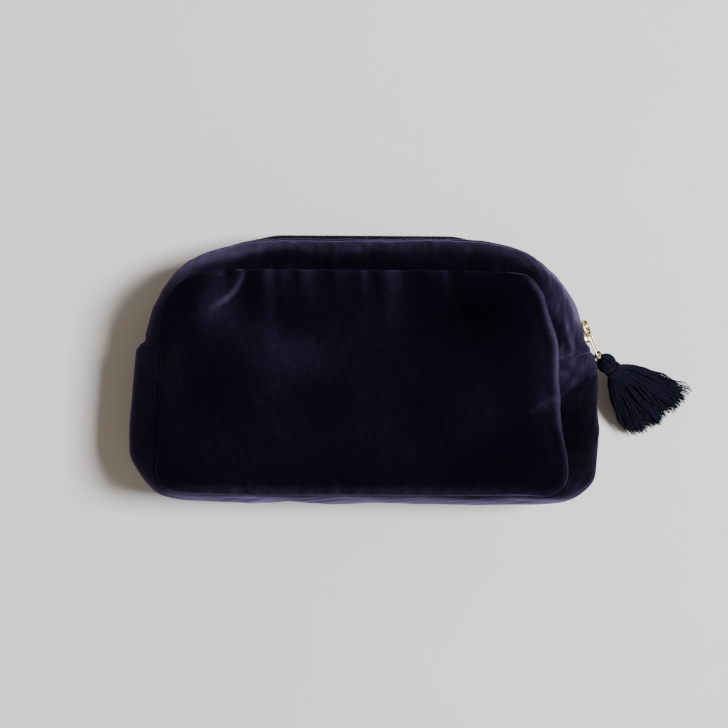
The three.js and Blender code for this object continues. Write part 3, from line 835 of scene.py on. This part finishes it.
def tape_piece(side, name):
    """The tape climbs from under the facing to the coil."""
    out = np.linspace(0.4, 11.5, 20)[None]
    share = smooth(out, 1.5, LIP + 0.5)
    under = gusset_radius(zip_stations, MID_Z + side * out, ZIP_FULLNESS) - TAPE_BELOW
    radius = np.minimum(TAPE_RADIUS * (1 - share) + under * share, TAPE_RADIUS)
    return thicken(strip_piece(name, zip_stations.place(radius, MID_Z + side * out), TAPE), 0.35)


def stop_piece(name, angle, x, depth_low, depth_high, sunk):
    """A folded metal clamp over the end of a coil."""
    outward = np.array([math.cos(angle), math.sin(angle), 0])
    along = np.array([-math.sin(angle), math.cos(angle), 0])
    centre = np.array([x, SPINE_Y, 0]) + outward * (ZIP_RADIUS - sunk)
    half_z = (depth_high - depth_low) / 2 + 0.1
    middle_z = (depth_high + depth_low) / 2
    sides = 28
    turn = np.linspace(0, 2 * math.pi, sides, endpoint=False)
    round_z = np.sign(np.sin(turn)) * np.abs(np.sin(turn)) ** 0.5 * half_z
    round_r = np.sign(np.cos(turn)) * np.abs(np.cos(turn)) ** 0.5 * 1.25
    profile = ((-0.95, 0.82), (-0.8, 0.95), (-0.5, 1.0), (0.5, 1.0), (0.8, 0.95), (0.95, 0.82))
    rings = []
    for offset, scale in profile:
        ring = (centre + along * offset)[None] + outward[None] * (round_r * scale)[:, None]
        ring[:, 2] = middle_z + round_z * scale
        rings.append(ring)
    faces = grid_faces(len(profile), sides, wrap_columns=True)
    last = (len(profile) - 1) * sides
    faces += [tuple(range(sides - 1, -1, -1)), tuple(range(last, last + sides))]
    return make_piece(name, np.concatenate(rings), faces, GOLD)


def facing_stitches(side, surface, name):
    """A row of topstitches beside the lip, each a short thread that dips at both ends."""
    depths, _ = facing_profile(side)
    row = int(np.abs(depths[:FACING_ROWS] - MID_Z - side * (LIP + STITCHES_FROM_LIP)).argmin())
    line = surface[:, row]
    outward = np.stack([np.cos(zip_stations.angle), np.sin(zip_stations.angle), 0 * zip_stations.x], 1)
    run = np.concatenate([[0], np.cumsum(np.linalg.norm(np.diff(line, axis=0), axis=1))])
    bundle = Bundle()
    pitch, length = 2.8, 2.1
    for start in np.arange(3, run[-1] - 4, pitch):
        t = np.linspace(start, start + length, 7)
        points = np.stack([np.interp(t, run, line[:, k]) for k in range(3)], 1)
        out = np.stack([np.interp(t, run, outward[:, k]) for k in range(3)], 1)
        rise = 0.28 * np.sin(np.linspace(0, math.pi, 7)) - 0.06
        bundle.tube(points + out * rise[:, None], 0.17, (0, 0, 1), sides=6)
    return bundle.piece(name, THREAD)


def zip_pieces(facings):
    for side, label in ((1, "front"), (-1, "rear")):
        tape = tape_piece(side, f"zip_tape_{label}_woven")
        coil = coil_piece(side, f"zip_coil_{label}_wound")
        stitches = facing_stitches(side, facings[side], f"facing_stitches_{label}")
        beside_zip(tape, side, "zip_tape", "zip_tape")
        beside_zip(coil, side, "zip_coil", "zip_coil")
        beside_zip(stitches, side, "yarn")
    stops = (("zip_top_stop_front", TOP_STOP, SPINE_X, 0.5, 2.6, 0.7),
             ("zip_top_stop_rear", TOP_STOP, SPINE_X, -2.6, -0.5, 0.7),
             ("zip_bottom_stop", BOTTOM_STOP, -SPINE_X, -2.6, 2.6, 2.3))
    for node, angle, x, low, high, sunk in stops:
        piece = stop_piece(f"{node}_clamp", angle, x, MID_Z + low, MID_Z + high, sunk)
        rides(piece, "pouch", "gold_metal", node)


# ---------------------------------------------------------------- slider and puller

def placed(points, origin, x_axis, y_axis):
    """Local points moved to an origin with its own X and Y axes."""
    z_axis = np.cross(x_axis, y_axis)
    return origin + points @ np.stack([x_axis, y_axis, z_axis])


def rounded_plate(outline, low, high, bevel, steps=3):
    """A plate with rounded edges over an outline in local X and Z, between two heights in Y."""
    count = len(outline)
    tangent = np.roll(outline, -1, 0) - np.roll(outline, 1, 0)
    tangent /= np.linalg.norm(tangent, axis=1, keepdims=True)
    inward = np.stack([-tangent[:, 1], tangent[:, 0]], 1)
    rings = []
    for end, sign in ((low, 1), (high, -1)):
        turns = np.linspace(0, QUARTER, steps + 1)
        for turn in turns if sign > 0 else turns[::-1]:
            inset, rise = bevel * (1 - math.sin(turn)), bevel * (1 - math.cos(turn))
            ring = outline + inward * inset
            rings.append(np.stack([ring[:, 0], np.full(count, end + sign * rise), ring[:, 1]], 1))
    points = np.concatenate(rings)
    faces = grid_faces(len(rings), count, wrap_columns=True)
    faces += [tuple(range(count - 1, -1, -1)), tuple(range(len(points) - count, len(points)))]
    return points, faces


def slider_outline():
    """Plan of the slider: a shield, wide where the two coils enter."""
    half_length, nose, shoulder = 5.5, 3.4, 4.3
    points = [(-half_length, 0), (-half_length + 0.4, -nose * 0.62), (-half_length * 0.62, -nose),
              (0.5, -nose - 0.15), (half_length * 0.55, -shoulder), (half_length * 0.9, -shoulder * 0.93),
              (half_length, -shoulder * 0.55), (half_length - 0.5, 0)]
    points += [(x, -z) for x, z in points[-2:0:-1]]
    return closed_curve(points, 6)


def slider_axes():
    """The slider's place on the zip's arc, and the directions along the zip and out of it."""
    arc = joint_place("slider_travel")
    bar = box_centre("slider_body") - arc
    radial = direction((bar[0], bar[1], 0))
    return arc + radial * ZIP_RADIUS, np.array([radial[1], -radial[0], 0]), radial


def slider_body_piece():
    """Two plates round the coils, a flange on each side and the post that parts the coils."""
    axes = slider_axes()
    bundle = Bundle()
    for low, high in ((1.0, 2.2), (-4.3, -3.1)):
        bundle.plate(slider_outline(), low, high, 0.4, axes)
    for sign in (1, -1):
        flange = np.array([(0.3, 3.25), (4.4, 3.5), (4.6, 4.0), (4.2, 4.25), (0.4, 4.05), (0.1, 3.6)])
        bundle.plate((flange * (1, sign))[::sign], -1.4, 1.1, 0.15, axes, 2)
    post = np.array([(1.6, -0.3), (4.8, -0.3), (4.8, 0.3), (1.6, 0.3)])
    bundle.plate(post, -3.2, 1.1, 0.1, axes, 1)
    rides(bundle.piece("slider_body_cast", GOLD), "slider", "gold_metal", "slider_body")


def slider_bridge_piece():
    """A strap that arches over the slider, with a web and a pad at each foot."""
    axes = slider_axes()
    arch = np.array([(-5.0, 1.9, 0), (-5.0, 3.0, 0), (-4.7, 3.8, 0), (-4.0, 4.3, 0), (-1.0, 4.4, 0),
                     (1.7, 4.4, 0), (2.4, 4.1, 0), (2.8, 3.3, 0), (2.8, 1.9, 0)])
    t = np.linspace(0, len(arch) - 1, 41)
    arch = np.stack([np.interp(t, range(len(arch)), arch[:, k]) for k in range(3)], 1)
    arch[1:-1] = (arch[:-2] + 2 * arch[1:-1] + arch[2:]) / 4
    bundle = Bundle()
    bundle.tube(placed(arch, *axes), 0.44, (0, 0, 1), sides=20, flat=3.2)
    for start, stop in ((-4.8, 0.2), (1.6, 2.7)):
        web = np.array([(start, -0.9), (stop, -0.9), (stop, 0.9), (start, 0.9)])
        bundle.plate(web, 2.1, 4.3, 0.2, axes, 2)
    turn = np.linspace(0, 2 * math.pi, 20, endpoint=False)
    for foot in (-4.6, 2.8):
        pad = np.stack([foot + 0.85 * np.cos(turn), 1.45 * np.sin(turn)], 1)
        bundle.plate(pad, 2.15, 2.75, 0.2, axes, 2)
    rides(bundle.piece("slider_bridge_arch", GOLD), "slider", "gold_metal", "slider_bridge")


def stadium(length, half_width, steps=12):
    """A closed loop with straight sides and round ends, in local X and Y, starting at the near end."""
    far = length - half_width
    turn = np.linspace(-QUARTER, QUARTER, steps)
    right = np.stack([far + half_width * np.cos(turn), half_width * np.sin(turn)], 1)
    left = np.stack([half_width - half_width * np.cos(turn), -half_width * np.sin(turn)], 1)
    sides = max(2, int((far - half_width) / 0.5))
    up = np.stack([np.linspace(far, half_width, sides)[1:-1], np.full(sides - 2, half_width)], 1)
    down = np.stack([np.linspace(half_width, far, sides)[1:-1], np.full(sides - 2, -half_width)], 1)
    return np.concatenate([right, up, left, down])


def flat_loop(length, half_width, behind, origin, x_axis, y_axis):
    """A stadium in the plane of two axes, which starts that far behind the origin."""
    flat = stadium(length, half_width)
    points = np.stack([flat[:, 0] - behind, flat[:, 1], 0 * flat[:, 0]], 1)
    return placed(points, origin, x_axis, y_axis)


def puller_piece():
    """A closed loop of wire from the bridge to the tassel, turned a little about its length."""
    eye, hook = joint_place("puller_swing"), joint_place("loop_swing")
    along = direction((hook[0] - eye[0], hook[1] - eye[1], 0))
    twist = math.radians(24)
    wide = direction(math.cos(twist) * np.array([0, 0, 1.0]) + math.sin(twist) * np.cross(along, (0, 0, 1)))
    bundle = Bundle()
    wire = flat_loop(13.2, 2.4, 0, eye, along, wide)
    bundle.tube(wire, 0.46, np.cross(along, wide), sides=14, closed=True)
    rides(bundle.piece("zip_puller_wire", GOLD), "puller", "gold_metal", "zip_puller")


# ---------------------------------------------------------------- tassel

HEAD_RADIUS = 4.8
HEAD_STRANDS = 60
NECK_RADIUS = 3.3
BINDING_TURNS = 7
BINDING_WIDTH = 3.2
SKIRT_STRANDS = 560
SKIRT_LENGTH = 40.4
SKIRT_SPREAD = 19.6


def tassel_axes():
    """The knot that the tassel turns on, the tassel's axis, and the level direction across it."""
    knot = joint_place("tassel_lift")
    axis = direction(box_centre("tassel_head") - knot)
    return knot, axis, direction(np.cross((0, 0, 1), axis))


def binding_place():
    """How far the middle of the neck's binding lies from the knot."""
    knot, axis, _ = tassel_axes()
    return np.dot(box_centre("tassel_binding") - knot, axis)


def tassel_loop_piece():
    """A closed loop of two twisted plies from the puller to the head."""
    hook, knot = joint_place("loop_swing"), joint_place("tassel_lift")
    hang = direction(knot - hook)
    _, _, across = tassel_axes()
    loop = closed_curve(flat_loop(4.6, 1.3, 1.1, hook, hang, across), 5)
    level = np.cross(hang, across)
    tangent = np.roll(loop, -1, 0) - np.roll(loop, 1, 0)
    side = np.cross(tangent / np.linalg.norm(tangent, axis=1, keepdims=True), level)
    spin = np.linspace(0, 2 * math.pi * 7, len(loop), endpoint=False)
    bundle = Bundle()
    for phase in (0, math.pi):
        ply = loop + 0.27 * (np.cos(spin + phase)[:, None] * side + np.sin(spin + phase)[:, None] * level)
        bundle.tube(ply, 0.32, level, sides=8, closed=True)
    rides(bundle.piece("tassel_loop_cord", YARN), "tassel_loop", "yarn", "tassel_loop")


def tassel_head_piece():
    """Plied strands from the knot round a ball and into the neck."""
    axes = tassel_axes()
    knot, axis, across = axes
    centre = np.linalg.norm(box_centre("tassel_head") - knot)
    turn = np.linspace(0, math.pi, 20)[1:-1]
    bundle = Bundle()
    for k in range(HEAD_STRANDS):
        spin = 2 * math.pi * (k + random.uniform(-0.2, 0.2)) / HEAD_STRANDS
        bulge = HEAD_RADIUS - 0.35 + random.uniform(-0.15, 0.2)
        sway = 0.10 * np.sin(turn * 2 + random.uniform(0, 6))
        x = centre - bulge * np.cos(turn)
        ring = np.maximum(bulge * np.sin(turn), np.where(turn > 2.2, NECK_RADIUS - 0.2, 0.5))
        path = np.stack([x, ring * np.cos(spin + sway), ring * np.sin(spin + sway)], 1)
        path = np.concatenate([path, path[-1:] + [(1.6, 0, 0)]])
        bundle.tube(placed(path, *axes), 0.33, axis + 0.01 * across, sides=6, lobes=3, lobe=0.2, pitch=2.2)
    core, sides, rows = 4.3, 28, 18
    rise, spin = np.meshgrid(np.linspace(0.05, math.pi - 0.05, rows),
                             np.linspace(0, 2 * math.pi, sides, endpoint=False))
    ball = np.stack([centre - core * np.cos(rise), core * np.sin(rise) * np.cos(spin),
                     core * np.sin(rise) * np.sin(spin)], -1).reshape(-1, 3)
    bundle.add(placed(ball, *axes), grid_faces(sides, rows, wrap_rows=True))
    rides(bundle.piece("tassel_head_yarn", YARN), "tassel", "yarn", "tassel_head")


def tassel_binding_piece():
    """One thread wound round the neck."""
    axes = tassel_axes()
    t = np.linspace(0, 1, BINDING_TURNS * 22)
    spin = 2 * math.pi * BINDING_TURNS * t
    radius = 3.85 + 0.18 * np.sin(t * math.pi)
    along = binding_place() + BINDING_WIDTH * (t - 0.5)
    wrap = np.stack([along, radius * np.cos(spin), radius * np.sin(spin)], 1)
    bundle = Bundle()
    bundle.tube(placed(wrap, *axes), 0.30, axes[1], sides=7, lobes=2, lobe=0.15, pitch=1.4)
    rides(bundle.piece("tassel_binding_thread", YARN), "tassel", "yarn", "tassel_binding")


def point_in_disc():
    """A random point in a disc of radius 1."""
    while True:
        a, b = random.uniform(-1, 1), random.uniform(-1, 1)
        if a * a + b * b <= 1:
            return a, b


def wiggle(run, shortest):
    """A wave along a strand, of random length and phase."""
    return np.sin(run / random.uniform(shortest, 4.5) + random.uniform(0, 6))


def tassel_skirt_piece():
    """Loose strands that fan out from the binding, sag and lie on the surface."""
    axes = tassel_axes()
    _, axis, across = axes
    start = binding_place() - 2.2
    t = np.linspace(0, 1, 36)
    thick = 0.31 * (1 - 0.6 * smooth(t, 0.85, 1.0))
    bundle = Bundle()
    for _ in range(SKIRT_STRANDS):
        a, b = point_in_disc()
        s = t * (SKIRT_LENGTH * (1 - 0.10 * a * a + 0.145 * a) * random.uniform(0.84, 1.04))
        fan = np.clip((s - 3.6) / (SKIRT_LENGTH - 3.6), 0, 1)
        half_y = 3.2 + (SKIRT_SPREAD - 3.2) * fan**0.6
        half_z = 3.3 + 2.0 * np.sin(math.pi * np.clip(fan * 1.05, 0, 1)) - 1.2 * fan
        sag = 4.6 * np.clip((s + 1) / SKIRT_LENGTH, 0, 1) ** 2.0
        curl = fan**1.4 * random.normal(0, 1.3) + 1.3 * fan * math.sin(9 * a) * np.sin(s / 8)
        y = a * half_y * (1 + 0.1 * (a > 0) * fan) + curl + 0.7 * fan * wiggle(s, 1.8) - 0.06 * s
        z = b * half_z + sag + 0.45 * fan * wiggle(s, 2.4)
        strand = placed(np.stack([start + s, y, z], 1), *axes)
        strand[:, 2] = np.maximum(strand[:, 2], 0.35)
        bundle.tube(strand, thick, across + 0.3 * np.cross(axis, across), sides=5)
    rides(bundle.piece("tassel_skirt_yarn", YARN), "tassel", "yarn", "tassel_skirt")


# ---------------------------------------------------------------- floor, light and camera

def stage():
    """A plain floor, 5 m square."""
    mesh = bpy.data.meshes.new("floor")
    half = 2.5
    corners = [(-half, -half, 0), (half, -half, 0), (half, half, 0), (-half, half, 0)]
    mesh.from_pydata(corners, [], [(0, 1, 2, 3)])
    mesh.materials.append(floor_paint())
    floor = bpy.data.objects.new("floor", mesh)
    bpy.context.scene.collection.objects.link(floor)


def lighting():
    """A dim warm surround and one soft light from the right, high up."""
    world = bpy.data.worlds.new("studio")
    world.use_nodes = True
    surround = world.node_tree.nodes["Background"].inputs
    surround["Color"].default_value = (1.0, 0.84, 0.70, 1)
    surround["Strength"].default_value = 0.35
    bpy.context.scene.world = world

    light = bpy.data.lights.new("window", "AREA")
    light.size = 0.76
    light.energy = 168
    light.color = (0.94, 0.97, 1.0)
    holder = bpy.data.objects.new("window", light)
    holder.location = (1.6, 0.18, 2.13)
    holder.rotation_euler = (-Vector(holder.location)).to_track_quat("-Z", "Y").to_euler()
    bpy.context.scene.collection.objects.link(holder)


def camera():
    """A camera straight above. The view is that wide at the pouch's middle height."""
    view_width, middle, height = 344.0, 25.0, 775.0
    lens = bpy.data.cameras.new("camera")
    lens.sensor_width = 36.0
    lens.lens = lens.sensor_width * (height - middle) / view_width
    lens.clip_start, lens.clip_end = 0.01, 10
    holder = bpy.data.objects.new("camera", lens)
    holder.location = (0, 2.2 * MM, height * MM)
    holder.rotation_euler = (0, 0, math.radians(0.35))
    bpy.context.scene.collection.objects.link(holder)
    bpy.context.scene.camera = holder


facings = {1: facing_surface(1), -1: facing_surface(-1)}
camera()
stage()
lighting()
velvet_pieces(facings)
inner_pieces()
zip_pieces(facings)
slider_body_piece()
slider_bridge_piece()
puller_piece()
tassel_loop_piece()
tassel_head_piece()
tassel_binding_piece()
tassel_skirt_piece()
